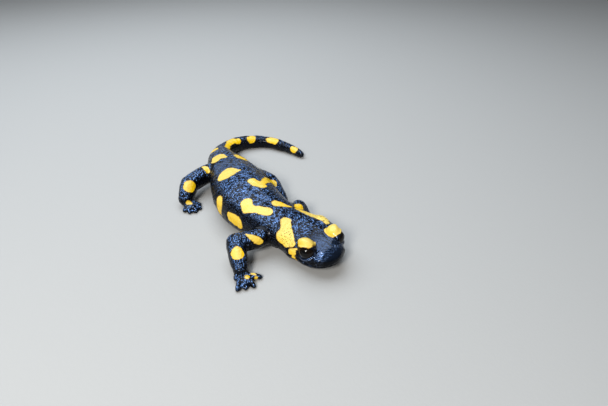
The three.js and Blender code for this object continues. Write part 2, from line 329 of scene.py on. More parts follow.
# ---------------------------------------------------------------- skin: legs and feet
# Short stout legs held out from the body, with four blunt toes on each fore foot and five on each
# hind foot. A leg runs through its joints, and its palm lies further on in the foot's heading.
LEGS = {
    "fore_right": {
        "joints": [(8.5, -1.0, 7.0), (10.6, -8.2, 7.1), (8.4, -16.3, 7.3), (17.6, -19.4, 3.2)],
        "thick": [3.4, 3.3, 3.5, 2.8],
        "foot": {"heading": -12, "ahead": 2.0, "size": (2.8, 3.3, 1.5)},
        "toes": [(-44, 6.2), (-16, 5.6), (14, 6.3), (60, 6.6)],
    },
    "fore_left": {
        "joints": [(8.4, 4.0, 7.0), (6.4, 10.0, 7.7), (2.8, 14.8, 7.7), (6.4, 16.0, 3.2)],
        "thick": [3.4, 3.3, 3.1, 2.4],
        "foot": {"heading": 10, "ahead": 1.8, "size": (2.6, 2.7, 1.5)},
        "toes": [(50, 5.0), (18, 6.0), (-12, 5.6), (-44, 4.4)],
    },
    "hind_right": {
        "joints": [(-43.0, 3.0, 6.8), (-43.0, -4.4, 7.2), (-39.3, -14.5, 7.2), (-35.2, -18.5, 3.2)],
        "thick": [4.2, 4.0, 3.8, 3.1],
        "foot": {"heading": 20, "ahead": 2.6, "size": (3.2, 3.0, 1.5)},
        "toes": [(-58, 4.6), (-26, 5.4), (2, 5.8), (32, 5.4), (66, 4.4)],
    },
    "hind_left": {
        "joints": [(-42.0, 8.0, 6.4), (-36.8, 11.2, 6.4), (-19.6, 14.6, 8.2), (-11.4, 15.4, 3.2)],
        "thick": [4.0, 3.6, 3.7, 2.7],
        "foot": {"heading": 6, "ahead": 2.4, "size": (3.2, 3.0, 1.5)},
        "toes": [(66, 4.0), (36, 5.2), (10, 5.8), (-16, 5.4), (-50, 4.0)],
    },
}
TOE = {"root": 1.2, "tip": 0.85, "knuckle": 1.3, "knuckle_at": 0.6, "low": 0.4}
MUSCLE = 0.25  # how far each length of a leg swells at its middle
PALM_SUNK = 0.1  # how far the soles reach under the floor before they are flattened on it


def tube(shape, path, thick, around, along, tip=0.0, swell=0.0):
    """Adds a limb along a path, as thick as given at each of its stations, with its tip rounded."""

    def place(share, angle):
        s = path.length * crowded(share)
        ahead = path.at(s, path.heading)
        across = unit(np.cross(ahead, UP))
        over = np.cross(across, ahead)
        radius = np.interp(path.at(s, path.station), range(len(thick)), thick)
        radius = (radius + swell * np.sin(math.pi * share)) * rounding(s, 1.0)
        radius = radius * rounding(path.length - s, max(tip, 1.0))
        ring = across * np.cos(angle)[:, None] + over * np.sin(angle)[:, None]
        return path.at(s, path.points) + ring * radius[:, None]

    loft(shape, around, along, place)


def heading(degrees):
    return np.array([math.cos(math.radians(degrees)), math.sin(math.radians(degrees)), 0.0])


limb_paths = {}
for name, leg in LEGS.items():
    root, hip, knee, ankle = (np.array(joint) for joint in leg["joints"])
    foot = leg["foot"]
    palm = ankle + heading(foot["heading"]) * foot["ahead"]
    palm[2] = foot["size"][2] - PALM_SUNK
    thick = leg["thick"]
    tube(flesh, Path([root, hip, knee]), thick[:3], 28, 40, swell=MUSCLE)
    ball(flesh, knee, (thick[2],) * 3)
    tube(flesh, Path([knee, ankle]), thick[2:], 28, 24, swell=MUSCLE)
    ball(flesh, ankle, (thick[3],) * 3)
    tube(flesh, Path([ankle, palm]), (thick[3], foot["size"][2]), 20, 8)
    ball(flesh, palm, foot["size"], foot["heading"])
    limb_paths[name] = (Path([root, hip, knee, ankle, palm]), [*thick, foot["size"][2]])
    for degrees, length in leg["toes"]:
        knuckle = palm + heading(degrees) * TOE["knuckle_at"] * length
        tip = palm + heading(degrees) * (length + TOE["tip"] / 2)
        knuckle[2], tip[2] = TOE["knuckle"], TOE["low"]
        toe_thick = (TOE["root"], TOE["root"], TOE["tip"])
        tube(flesh, Path([palm, knuckle, tip]), toe_thick, 16, 18, tip=TOE["tip"])

# ---------------------------------------------------------------- skin: one closed skin
# The flesh is drawn together into one skin by a voxel remesh, made finer on the head and the feet
# and finest round the eyes, and relaxed, most of all where the legs grow out of the body.
VOXEL = 0.5
FINE_HEAD = 15.0  # the skin is finer ahead of this
FINE_FEET = {"under": 4.0, "midline": 5, "out": 10, "ahead_of": -45}
EYE_REACH = 4.3  # how far from an eyeball's middle the skin is finest
WEB = 2.4  # how far from both a leg's root and the body their corner is filled in
FAR = 99.0  # where no limb or lid is near
LEAST = 0.05  # the least that a length is divided by


def skin_mesh(shape, voxel):
    """The outer skin of some overlapping closed forms, as a new bmesh."""
    rough = bpy.data.objects.new("rough", bpy.data.meshes.new("rough"))
    shape.to_mesh(rough.data)
    shape.free()
    bpy.context.scene.collection.objects.link(rough)
    remesh = rough.modifiers.new("remesh", "REMESH")
    remesh.mode = "VOXEL"
    remesh.voxel_size = voxel
    evaluated = rough.evaluated_get(bpy.context.evaluated_depsgraph_get())
    closed = bmesh.new()
    closed.from_mesh(evaluated.to_mesh())
    bpy.data.objects.remove(rough)
    return closed


def refine(shape, wanted):
    """Splits the edges whose two ends are both wanted."""
    near = wanted(positions(shape))
    edges = [edge for edge in shape.edges if near[edge.verts[0].index] and near[edge.verts[1].index]]
    bmesh.ops.subdivide_edges(shape, edges=edges, cuts=1, use_grid_fill=True)
    shape.verts.index_update()
    shape.verts.ensure_lookup_table()


def fine_parts(points):
    """The head, the hands and the feet, and not the tail."""
    ahead, left, height = points.T
    beside = np.abs(left - FINE_FEET["midline"]) > FINE_FEET["out"]
    on_feet = (height < FINE_FEET["under"]) & beside & (ahead > FINE_FEET["ahead_of"])
    return (ahead > FINE_HEAD) | on_feet


def round_the_eyes(points):
    """The lids and the skin beside them."""
    away = [np.linalg.norm(points - on_head(EYE, side), axis=1) for side in SIDES]
    return np.minimum(*away) < EYE_REACH


def relax(points, edges, amount, rounds, back=1.02):
    """Moves points towards the middle of their neighbours and back, by an amount from 0 to 1 each."""
    ends = np.concatenate([edges[:, 0], edges[:, 1]])
    others = np.concatenate([edges[:, 1], edges[:, 0]])
    count = np.maximum(np.bincount(ends, minlength=len(points)), 1)
    for factor in (1, -back) * rounds:
        sums = [np.bincount(ends, points[others, k], len(points)) for k in range(3)]
        pull = np.stack(sums, 1) / count[:, None] - points
        points = points + pull * (0.5 * factor * amount)[:, None]
    return points


def place_on_body(points):
    """For each point, how far it is from the snout, the angle round the body there (0 the right side,
    90 degrees the back), and how far out of the body it lies."""
    near = spine.nearest(points, (1, 1, 0.01))
    level = unit(spine.heading * (1, 1, 0))[near]
    s = np.clip(spine.distance[near] + ((points - spine.points[near]) * level).sum(1), 0, spine.length)
    middle, left, top = body_frame(s)
    side, up, down, _ = section(spine.at(s, spine.station))
    end = np.maximum(rounding(s, SNOUT_ROUND) * rounding(spine.length - s, TAIL_ROUND), LEAST)
    off = points - middle
    across = -(off * left).sum(1) / (side * end)
    high = (off * top).sum(1)
    high = high / (np.where(high > 0, up, down) * end)
    angle = np.arctan2(signed_power(high, 1 / SECTION_SIDES), signed_power(across, 1 / SECTION_SIDES))
    reach = np.maximum(np.hypot(across, high), LEAST)
    return s, angle, np.linalg.norm(off, axis=1) * (1 - 1 / reach)


def place_on_limb(points, path, thick):
    """The same along a limb: 0 is the right of its heading and 90 degrees its top."""
    near = path.nearest(points)
    off = points - path.points[near]
    ahead = path.heading[near]
    d = path.distance[near] + (off * ahead).sum(1)
    right = unit(np.cross(ahead, UP))
    angle = np.arctan2((off * np.cross(right, ahead)).sum(1), (off * right).sum(1))
    return d, angle, np.linalg.norm(off, axis=1) - np.interp(path.station[near], range(len(thick)), thick)


closed_skin = skin_mesh(flesh, VOXEL)
refine(closed_skin, fine_parts)
refine(closed_skin, round_the_eyes)
skin = positions(closed_skin)
edges = np.array([[vertex.index for vertex in edge.verts] for edge in closed_skin.edges])
skin = relax(skin, edges, amount=np.ones(len(skin)), rounds=6)

body_s, body_angle, body_out = place_on_body(skin)
limb_d, limb_angle, limb_out = np.zeros(len(skin)), np.zeros(len(skin)), np.full(len(skin), FAR)
limb_number = np.zeros(len(skin), int)
for number, (path, thick) in enumerate(limb_paths.values(), 1):
    d, angle, out = place_on_limb(skin, path, thick)
    closer = out < limb_out
    limb_d, limb_angle, limb_out = (
        np.where(closer, new, old) for new, old in ((d, limb_d), (angle, limb_angle), (out, limb_out))
    )
    limb_number[closer] = number
on_limb = limb_out < body_out
web = (1 - between(np.abs(body_out), 0.4 * WEB, WEB)) * (1 - between(np.abs(limb_out), 0.4 * WEB, WEB))
skin = relax(skin, edges, amount=web, rounds=14, back=0)

# ---------------------------------------------------------------- skin: eyes, mouth and nostrils
# The thick lids close on the eyeball along two arcs, with a rounded rim whose lower part stays moist
# and carries a painted highlight. The wide mouth is a crease between slight lips, and the nostrils are
# pits with a raised moist rim, also with a painted highlight, beside the snout's tip. A ridge or a
# groove is given by its place, its reach and its height.
GAZE = {"ahead": 26, "over": 11}  # degrees that an eye looks ahead of straight out, and up
OPENING = {"half_width": 74, "half_height": 40, "tilt": 11}  # degrees; the rear corner is the lower one
OPENING_POWER = 2.3  # 2 is an ellipse, and more is squarer
LOWER_LID = (5, -10)  # degrees up from the gaze at which the lower lid begins and is whole
LID_THICK = 0.58
TUCK = 0.6  # how far inside the eyeball the skin behind the opening lies
OPENING_EDGE = (-0.32, 0.12)
LID_HELD = {"beyond": (0.6, 2.2), "distance": (4.6, 6.0)}  # where the lids' thickness gives way to the face
LID_REACH = 6  # how far from an eyeball's middle its lids can be
LID_BEAD = (0.45, 0.3, 0.12)
LID_GROOVE = (1.5, 0.4, -0.30)
GROOVE_FROM = (4.8, 6.4)  # how far back from the snout the groove under the eye begins and is whole
MOIST_LID_PAINTED_HIGHLIGHT = (0.3, 0.32, 0.8)
MOIST_HIGHLIGHT_ENDS = (3.9, 4.3)  # how far from the eyeball's middle the moist rim and its painted highlight fade
MOUTH = {"height": 5.4, "slope": 0.06, "corner": 14.5}
LIPS = [(0.75, 0.5, 0.14), (0, 0.26, -0.42), (-0.7, 0.45, 0.10)]
NOSTRIL = {"back": 3.6, "out": 3.0, "height": 8.8}
NOSTRIL_FORM = [(0.65, 0.3, 0.16), (0, 0.28, -0.42)]
MOIST_NOSTRIL_PAINTED_HIGHLIGHT = (0.6, 0.3, 0.8)


def from_head(points):
    """Distances back from the snout, out to the left and above the floor, with the head unrolled."""
    off = points - (SNOUT[0], SNOUT[1], HEAD_MIDDLE)
    roll = math.radians(HEAD_ROLL)
    out = off[:, 1] * math.cos(roll) + off[:, 2] * math.sin(roll)
    over = off[:, 2] * math.cos(roll) - off[:, 1] * math.sin(roll)
    return -off[:, 0], out, over + HEAD_MIDDLE


def gaze_frame(side):
    """The ways ahead, up and along the gaze of one eye."""
    ahead, roll = np.array([1.0, 0.0, 0.0]), math.radians(EYE["roll"])
    out = side * np.array([0.0, math.cos(roll), math.sin(roll)])
    over = np.array([0.0, -math.sin(roll), math.cos(roll)])
    turn, tilt = math.radians(GAZE["ahead"]), math.radians(GAZE["over"])
    level = out * math.cos(turn) + ahead * math.sin(turn)
    fore = ahead * math.cos(turn) - out * math.sin(turn)
    above = over * math.cos(tilt) - level * math.sin(tilt)
    return fore, above, level * math.cos(tilt) + over * math.sin(tilt)


def round_the_opening(points, side):
    """How far points are from an eyeball's middle, how far beyond the lids' edge, and how far up."""
    off = points - on_head(EYE, side)
    distance = np.linalg.norm(off, axis=1)
    fore, above, gaze = gaze_frame(side)
    over = np.degrees(np.arcsin(np.clip(off @ above / distance, -1, 1)))
    along = np.degrees(np.arctan2(off @ fore, off @ gaze))
    lean = math.radians(OPENING["tilt"])
    along, over = (
        along * math.cos(lean) + over * math.sin(lean),
        over * math.cos(lean) - along * math.sin(lean),
    )
    wide, high = np.abs(along) / OPENING["half_width"], np.abs(over) / OPENING["half_height"]
    share = np.maximum((wide**OPENING_POWER + high**OPENING_POWER) ** (1 / OPENING_POWER), LEAST)
    return distance, np.radians(np.hypot(along, over)) * (1 - 1 / share) * EYE["radius"], over


def ridge(value, form):
    """A ridge, or a groove where its height is negative, along the line where a value is at its place."""
    place, reach, height = form
    return height * bump(value, place, reach)


def normals(shape, points):
    """The ways out of the skin at its points."""
    for vertex, point in zip(shape.verts, points):
        vertex.co = point
    shape.normal_update()
    return np.array([vertex.normal for vertex in shape.verts])


lid_edge, moist = np.full(len(skin), FAR), np.zeros(len(skin))
for side in SIDES:
    distance, beyond, over = round_the_opening(skin, side)
    near, below = distance < LID_REACH, between(over, *LOWER_LID)
    crease = ridge(beyond, LID_GROOVE) * between(from_head(skin)[0], *GROOVE_FROM)
    crease = (crease + ridge(beyond, LID_BEAD)) * below
    lid_edge = np.minimum(lid_edge, np.where(near, np.abs(beyond), FAR))
    # The moist lower rim: a wetter coat, and a painted bright highlight in the skin's colour.
    moist_lid = ridge(beyond, MOIST_LID_PAINTED_HIGHLIGHT) * below * (1 - between(distance, *MOIST_HIGHLIGHT_ENDS))
    moist = np.maximum(moist, moist_lid)
    held = (1 - between(beyond, *LID_HELD["beyond"])) * (1 - between(distance, *LID_HELD["distance"]))
    surface = EYE["radius"] - TUCK + (LID_THICK + TUCK) * between(beyond, *OPENING_EDGE)
    wanted = distance + (surface - distance) * held + crease * near
    skin = on_head(EYE, side) + (skin - on_head(EYE, side)) * (wanted / distance)[:, None]

back, out, height = from_head(skin)
lip = height - MOUTH["height"] - MOUTH["slope"] * back
mouth = 1 - between(back, MOUTH["corner"] - 1.0, MOUTH["corner"] + 0.6)
relief = sum(ridge(lip, form) for form in LIPS) * mouth
for side in SIDES:
    pit = skin[np.linalg.norm(skin - on_head(NOSTRIL, side), axis=1).argmin()]
    away = np.linalg.norm(skin - pit, axis=1)
    relief += sum(ridge(away, form) for form in NOSTRIL_FORM)
    # The moist nostril rim, with a painted highlight.
    moist = np.maximum(moist, ridge(away, MOIST_NOSTRIL_PAINTED_HIGHLIGHT))
skin = skin + normals(closed_skin, skin) * relief[:, None]

# ---------------------------------------------------------------- skin: folds and grain
# Loose skin: grooves between the ribs down each flank, a fold round the throat, a groove along the
# middle of the back, rings on the tail, creases round the joints of the limbs, low lumps, and glands
# in two rows beside the spine. All of them fade out where a limb meets the body and at the lids.
RIB_GROOVES = {"first": 38.0, "last": 88.0, "step": 4.6, "width": 0.55, "depth": 0.26, "lean": 0.02}
TAIL_RINGS = {"first": 96.0, "last": 150.0, "step": 2.6, "width": 0.45, "depth": 0.10}
THROAT_FOLD = (24.6, 0.7, -0.45)
BACK_GROOVE = (0, 7, -0.14)
BACK_GROOVE_ALONG = (28, 34, 140, 150)
BACK_GLANDS = {"step": 2.8, "length": 0.5, "beside": 15, "width": 3.5, "stagger": 0.3, "height": 0.12}
BACK_GLANDS_ALONG = (26, 30, 120, 126)
FLANK = (30, 60, 100, 130)  # degrees from the middle of the back
THROAT = (60, 85)
BARE = (0.8, 2.5)  # how far from where a limb meets the body the folds begin and are whole
BODY_LUMPS = [(5.0, 0.20), (2.2, 0.10)]  # the size of the lumps and their height
LIMB_LUMPS = [(3.0, 0.12), (1.4, 0.05)]
LUMPS_APART = 40  # how far apart lumps of two sizes are taken from the noise
JOINT_CREASES = (-1.5, -0.75, 0.0, 0.75, 1.5)
JOINT_CREASE = (0, 0.24, -0.13)
DRIFT = 0.6  # how far folds wander from where they would lie


def lumps(points, size):
    """Smooth noise between about -1 and 1."""
    return np.array([noise.noise(place) for place in (points / size).tolist()])


def lumpy(points, heights, apart):
    """Low lumps of a few sizes, each with its height."""
    return sum(height * lumps(points + k * apart, size) for k, (size, height) in enumerate(heights))


def rings(s, kind):
    """1 on the evenly spaced lines of one kind along s, and 0 between them."""
    return bump((s - kind["first"] + kind["step"] / 2) % kind["step"], kind["step"] / 2, kind["width"])


def stretch(s, start, whole, fading, end):
    """1 along a stretch of the body, with both ends eased."""
    return between(s, start, whole) * (1 - between(s, fading, end))


degrees_round = np.degrees(body_angle)
from_back = np.abs(degrees_round - 90)
flank = stretch(from_back, *FLANK)
belly = between(-degrees_round, 20, 60) * between(degrees_round, -200, -150)
bare_body = np.where(on_limb, 0, between(limb_out, *BARE))
bare_limb = np.where(on_limb, between(body_out, *BARE), 0)
drift = DRIFT * lumps(skin, 6.0)

first, last = RIB_GROOVES["first"], RIB_GROOVES["last"]
ribbed = stretch(body_s, first - 2, first, last, last + 2)
rib_s = body_s + drift - RIB_GROOVES["lean"] * from_back
relief = -RIB_GROOVES["depth"] * rings(rib_s, RIB_GROOVES) * ribbed * flank
first, last = TAIL_RINGS["first"], TAIL_RINGS["last"]
ringed = stretch(body_s, first - 3, first, last, last + 5)
relief -= TAIL_RINGS["depth"] * rings(body_s + drift, TAIL_RINGS) * ringed
relief += ridge(body_s + drift, THROAT_FOLD) * between(from_back, *THROAT)
relief += ridge(from_back, BACK_GROOVE) * stretch(body_s, *BACK_GROOVE_ALONG)
relief += lumpy(skin, BODY_LUMPS, LUMPS_APART)
for row in (-BACK_GLANDS["beside"], BACK_GLANDS["beside"]):
    middle = BACK_GLANDS["step"] / 2
    along_row = (body_s + BACK_GLANDS["stagger"] * row + middle) % BACK_GLANDS["step"]
    in_row = bump(along_row, middle, BACK_GLANDS["length"])
    in_row = in_row * bump(degrees_round, 90 + row, BACK_GLANDS["width"])
    relief += BACK_GLANDS["height"] * in_row * stretch(body_s, *BACK_GLANDS_ALONG)
relief *= bare_body
for number, (path, _) in enumerate(limb_paths.values(), 1):
    for joint in (2, 3):
        for crease in JOINT_CREASES:
            line = np.interp(joint, path.station, path.distance) + crease + 0.5 * drift
            relief += ridge(limb_d - line, JOINT_CREASE) * bare_limb * (limb_number == number)
relief += lumpy(skin, LIMB_LUMPS, -LUMPS_APART) * bare_limb
relief *= between(lid_edge, 0.2, 1.5)
skin = skin + normals(closed_skin, skin) * relief[:, None]
skin[:, 2] = np.maximum(skin[:, 2], 0)

# ---------------------------------------------------------------- skin: yellow blotches
# Lemon-yellow blotches on the black: on both lids and glands, in two broken rows along the back,
# over the limbs' joints, and in bands on the tail. A blotch is a chain of discs that run into one
# another, each with its place and its radius.
BODY_BLOTCHES = {  # the distance along the body, the degrees round it and the radius
    "right jaw": [(11.0, 17, 1.2), (12.2, 10, 1.4), (12.1, 2, 1.1), (11.7, -8, 0.7), (10.4, -20, 0.3)],
    "left jaw": [(11.2, 163, 0.9), (12.5, 169, 1.1), (12.0, 184, 0.6)],
    "right gland": [(21.2, 43, 3.2), (18.0, 38, 2.4), (15.4, 40, 1.55)],
    "right gland, upper": [(20.6, 46, 2.8), (23.0, 63, 2.0), (24.8, 74, 2.0)],
    "left gland": [(26.0, 125, 0.7), (21.5, 133, 1.9), (17.5, 133, 2.3), (14.6, 129, 1.2)],
    "right shoulder": [(40.1, 60, 2.4), (38.8, 52, 2.2), (36.1, 59, 1.6), (34.4, 64, 1.9), (32.0, 72, 2.0)],
    "left shoulder": [(33.0, 98, 1.6), (31.8, 103, 1.5), (30.1, 111, 1.0), (27.9, 119, 0.4)],
    "left loin": [(50.4, 99, 2.1), (48.0, 103, 2.3), (45.4, 110, 1.9)],
    "left loin, lower": [(48.0, 117, 1.3), (50.6, 131, 1.8), (53.4, 143, 2.0), (55.8, 155, 1.8)],
    "right loin": [(60.2, 58, 2.6), (61.0, 66, 3.6), (62.6, 74, 3.6), (62.2, 84, 2.0), (61.8, 92, 0.8)],
    "right pelvis": [(82.0, 56, 2.2), (83.9, 64, 2.9), (83.9, 75, 2.9), (82.3, 83, 1.6)],
    "left pelvis": [(81.8, 120, 1.8), (79.2, 123, 2.4), (76.2, 130, 1.5)],
    "left dot": [(68, 146, 0.7)],
    "right rib": [(50.4, 22, 2.0), (49.4, 12, 2.4), (49.4, -2, 2.1)],
    "right armpit": [(43.4, 5, 2.0), (41.2, 8, 2.4), (39.0, 5, 2.3)],
    "left flank": [(61.5, 182, 2.0), (64.5, 178, 1.6)],
    "left armpit": [(38, 176, 2.3), (41, 180, 1.6)],
    "tail root": [(96.3, 45, 3.0)],
    "tail bend": [(100.2, 124, 1.6), (105, 112, 1.3), (109.6, 96, 2.1), (111.9, 105, 2.4), (113.8, 117, 2.1)],
    "mid tail": [(122.6, 130, 2.3), (123.2, 106, 2.0)],
    "thin tail": [(133.4, 113, 2.0), (136.5, 113, 2.2)],
    "tail tip": [(149.2, 122, 2.2)],
}
LID_BLOTCHES = {  # back from the snout, out, the height and the radius, on each side
    -1: [
        (11.0, 5.4, 12.0, 2.5), (9.2, 4.6, 12.0, 2.7), (7.7, 5.8, 12.2, 1.9), (9.4, 7.6, 11.5, 2.8),
        (9.3, 6.2, 13.2, 1.7),
    ],
    1: [(10.2, 5.6, 12.0, 2.5), (8.4, 5.6, 12.2, 2.7), (7.6, 6.4, 12.2, 1.8), (9.4, 7.8, 11.5, 2.6)],
}
LIMB_BLOTCHES = {  # the same as on the body, along a limb
    "right arm": ("fore_right", [(8.2, 160, 1.3), (8.9, 142, 1.5), (10.6, 124, 0.9), (12.1, 110, 0.35)]),
    "right forearm": ("fore_right", [(22.2, 93, 2.5)]),
    "right hip": ("hind_right", [(8.9, 131, 1.1), (9.0, 112, 1.5), (9.4, 90, 1.1)]),
    "right shank": ("hind_right", [(20.5, 131, 2.8)]),
    "left arm": ("fore_left", [(7.3, 66, 1.9), (8.8, 66, 2.1)]),
    "left forearm": ("fore_left", [(19, 40, 1.8)]),
    "left knee": ("hind_left", [(26.4, 64, 1.9)]),
    "left shank": ("hind_left", [(35, 0, 2.0)]),
}
FOOT_BLOTCHES = {  # the place of the disc itself and the radius
    "right wrist": [(21.2, -16.7, 2.5, 0.75), (21.9, -16.2, 2.4, 0.6)],
    "right hand": [(21.8, -19.2, 2.5, 1.0)],
    "right finger": [(22.8, -16.3, 1.4, 0.7), (22.6, -16.2, 0.6, 0.6)],
    "right foot": [(-31.9, -18.6, 3.1, 1.0), (-31.2, -17.8, 3.1, 0.9)],
    "left hand": [(10.4, 17.6, 2.8, 1.0)],
    "left foot": [(-8.0, 16.0, 3.0, 1.2)],
}
BESIDE_THE_POINT = 0.12  # how many mm a degree counts as, where the skin's nearest point is sought
BLACK_RIM = {"upper": 0.1, "lower": 0.8, "ends": 4.4, "fade": 4}  # bare of yellow, along the lids' edge


def blotch(points, discs):
    """How far inside a chain of discs, each a place and a radius, every point is."""
    inside = discs[0][1] - np.linalg.norm(points - discs[0][0], axis=1)
    for (start, wide), (end, narrow) in zip(discs, discs[1:]):
        run = end - start
        t = np.clip((points - start) @ run / max(run @ run, 1e-6), 0, 1)
        reach = wide + (narrow - wide) * t
        inside = np.maximum(inside, reach - np.linalg.norm(points - start - t[:, None] * run, axis=1))
    return inside


def pin(along, angle, here, wanted_along, wanted_degrees):
    """The skin's own point at a distance along a body or limb, and an angle round it."""
    turn = (np.degrees(angle) - wanted_degrees + 180) % 360 - 180
    away = np.abs(along - wanted_along) + BESIDE_THE_POINT * np.abs(turn)
    return skin[np.where(here, away, np.inf).argmin()]


blotches = []
for discs in BODY_BLOTCHES.values():
    blotches.append([(pin(body_s, body_angle, ~on_limb, s, degrees), r) for s, degrees, r in discs])
for limb, discs in LIMB_BLOTCHES.values():
    here = on_limb & (limb_number == 1 + list(limb_paths).index(limb))
    blotches.append([(pin(limb_d, limb_angle, here, d, degrees), r) for d, degrees, r in discs])
for discs in FOOT_BLOTCHES.values():
    blotches.append([(np.array(disc[:3]), disc[3]) for disc in discs])
yellow = np.max([blotch(skin, discs) for discs in blotches], axis=0)
for side, discs in LID_BLOTCHES.items():
    distance, beyond, over = round_the_opening(skin, side)
    on_lid = blotch(skin, [(on_head(dict(back=b, out=o, height=h), side), r) for b, o, h, r in discs])
    above_the_eye = np.minimum(beyond - 0.05, np.radians(over) * distance)
    yellow = np.maximum(yellow, np.minimum(on_lid, above_the_eye))
    rim = BLACK_RIM["upper"] + (BLACK_RIM["lower"] - BLACK_RIM["upper"]) * between(over, *LOWER_LID)
    past_the_lids = np.maximum(distance - BLACK_RIM["ends"], 0)
    yellow = np.minimum(yellow, beyond - rim + BLACK_RIM["fade"] * past_the_lids)

# ---------------------------------------------------------------- skin: material and mesh
# Black skin, wet and glossy: fine wrinkles run across the body, the flanks are granular, and the
# glands are pricked with dark pores. It reads the blotches, the moist rims and the lie of the
# wrinkles from the mesh. Its grooves are black; a painted blue-grey sky sheen, set as a metallic
# tint, lies on the crests where the skin faces up, and the moist rims carry painted highlights.
GROOVE_BLACK = (0.004, 0.005, 0.008, 1)
# Painted sheen: the blue-grey reflection of the sky, laid into the colour of the crests that face up.
PAINTED_SKY_SHEEN = (0.060, 0.114, 0.245, 1)
# The lemon is the golden yellow with a painted blue-white sky sheen, for the parts that face up.
LEMON_WITH_PAINTED_SHEEN = (0.68, 0.51, 0.12, 1)
GOLDEN = (0.80, 0.50, 0.004, 1)
BROWN_EDGE = (0.28, 0.12, 0.004, 1)
DARK_PORE = (0.06, 0.03, 0.006, 1)
EYES_MIDDLE = sum((corner for name in ("eye_left", "eye_right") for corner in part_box(name)), Vector()) / 4
HEAD_EYES = (on_head(EYE, 1) + on_head(EYE, -1)) / 2
MOVED = np.array([EYES_MIDDLE.x * 1000 - HEAD_EYES[0], EYES_MIDDLE.y * 1000 - HEAD_EYES[1], 0])


def finish_piece(name, shape, points, material, **attributes):
    """The object for a bmesh whose points are given in millimetres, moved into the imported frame."""
    for vertex, point in zip(shape.verts, (points + MOVED) / 1000):
        vertex.co = point
    for face in shape.faces:
        face.smooth = True
    piece = bpy.data.objects.new(name, bpy.data.meshes.new(name))
    shape.to_mesh(piece.data)
    shape.free()
    for key, values in attributes.items():
        kind, field = ("FLOAT_VECTOR", "vector") if values.ndim > 1 else ("FLOAT", "value")
        attribute = piece.data.attributes.new(key, kind, "POINT")
        attribute.data.foreach_set(field, values.astype(np.float32).ravel())
    piece.data.materials.append(material)
    bpy.context.scene.collection.objects.link(piece)
    return piece


def math_node(material, operation, *values, clamp=False):
    """A Math node's result for some values or sockets."""
    inputs = {f"_{k}": value for k, value in enumerate(values)}
    return node(material, "Math", {"operation": operation, "use_clamp": clamp}, **inputs).outputs["Value"]


def attribute(material, name, output="Fac"):
    return node(material, "Attribute", {"attribute_name": name}).outputs[output]


def mapped(material, value, low, high, to_low=0.0, to_high=1.0):
    """A value taken smoothly from one range to another."""
    settings = {"interpolation_type": "SMOOTHSTEP"}
    made = node(material, "MapRange", settings, _0=value, _1=low, _2=high, _3=to_low, _4=to_high)
    return made.outputs["Result"]


def colour_mix(material, share, first, second):
    """A colour between two, which are values or sockets."""
    mix = node(material, "Mix", {"data_type": "RGBA"}, _0=share, _6=first, _7=second)
    return mix.outputs[2]


wet_skin, skin_shader = principled("wet_skin")
place = node(wet_skin, "TexCoord").outputs["Object"]
lie = attribute(wet_skin, "lie", "Vector")
edge_noise = node(wet_skin, "TexNoise", Vector=place, Scale=650.0, Detail=3.0).outputs["Fac"]
ragged = math_node(wet_skin, "MULTIPLY_ADD", edge_noise, 1.1, -0.55)
in_blotch = math_node(wet_skin, "ADD", attribute(wet_skin, "yellow"), ragged)
is_yellow = mapped(wet_skin, in_blotch, -0.08, 0.06)

pore_settings = {"voronoi_dimensions": "2D"}
pore_cells = node(wet_skin, "TexVoronoi", pore_settings, Vector=lie, Scale=0.8, Randomness=0.9)
pore = mapped(wet_skin, pore_cells.outputs["Distance"], 0.07, 0.22, 1.0, 0.0)
pore = math_node(wet_skin, "MULTIPLY", pore, attribute(wet_skin, "gland"))
tone_noise = node(wet_skin, "TexNoise", Vector=place, Scale=260.0, Detail=2.0).outputs["Fac"]
# Golden on the sides, the far side and the tail as painted shade, lemon on top as painted sheen, with tone
# that varies at random.
gold = math_node(wet_skin, "MULTIPLY_ADD", tone_noise, 0.8, -0.4)
gold = math_node(wet_skin, "ADD", gold, attribute(wet_skin, "gold"), clamp=True)
yellow_colour = colour_mix(wet_skin, gold, LEMON_WITH_PAINTED_SHEEN, GOLDEN)
edge_share = mapped(wet_skin, in_blotch, 0.0, 0.30, 0.75, 0.0)
yellow_colour = colour_mix(wet_skin, edge_share, yellow_colour, BROWN_EDGE)
yellow_colour = colour_mix(wet_skin, pore, yellow_colour, DARK_PORE)

stretched = node(wet_skin, "Mapping", Vector=lie, Scale=(0.85, 0.45, 1.0)).outputs["Vector"]
wrinkle_noise = node(wet_skin, "TexNoise", Vector=stretched, Scale=1.0, Detail=2.0, Distortion=0.5)
wrinkles = mapped(wet_skin, wrinkle_noise.outputs["Fac"], 0.37, 0.63)
wrinkles = math_node(wet_skin, "MULTIPLY", wrinkles, attribute(wet_skin, "wrinkled"))
grain_settings = {"voronoi_dimensions": "2D", "feature": "SMOOTH_F1"}
grain_cells = node(wet_skin, "TexVoronoi", grain_settings, Vector=lie, Scale=1.15, Smoothness=0.4)
grain = mapped(wet_skin, grain_cells.outputs["Distance"], 0.10, 0.70, 1.0, 0.0)
grain = math_node(wet_skin, "MULTIPLY", grain, attribute(wet_skin, "granular"))
fine = node(wet_skin, "TexNoise", Vector=place, Scale=1100.0, Detail=3.0).outputs["Fac"]
height = math_node(wet_skin, "MULTIPLY_ADD", grain, 1.2, wrinkles)
height = math_node(wet_skin, "MULTIPLY_ADD", fine, 0.9, height)

# Painted sky sheen on the crests of the wrinkles and grains, only where the skin faces up.
painted_crest_sheen = mapped(wet_skin, height, 0.80, 1.40)
painted_crest_sheen = math_node(wet_skin, "MULTIPLY", painted_crest_sheen, attribute(wet_skin, "sheen"))
is_moist = attribute(wet_skin, "moist")
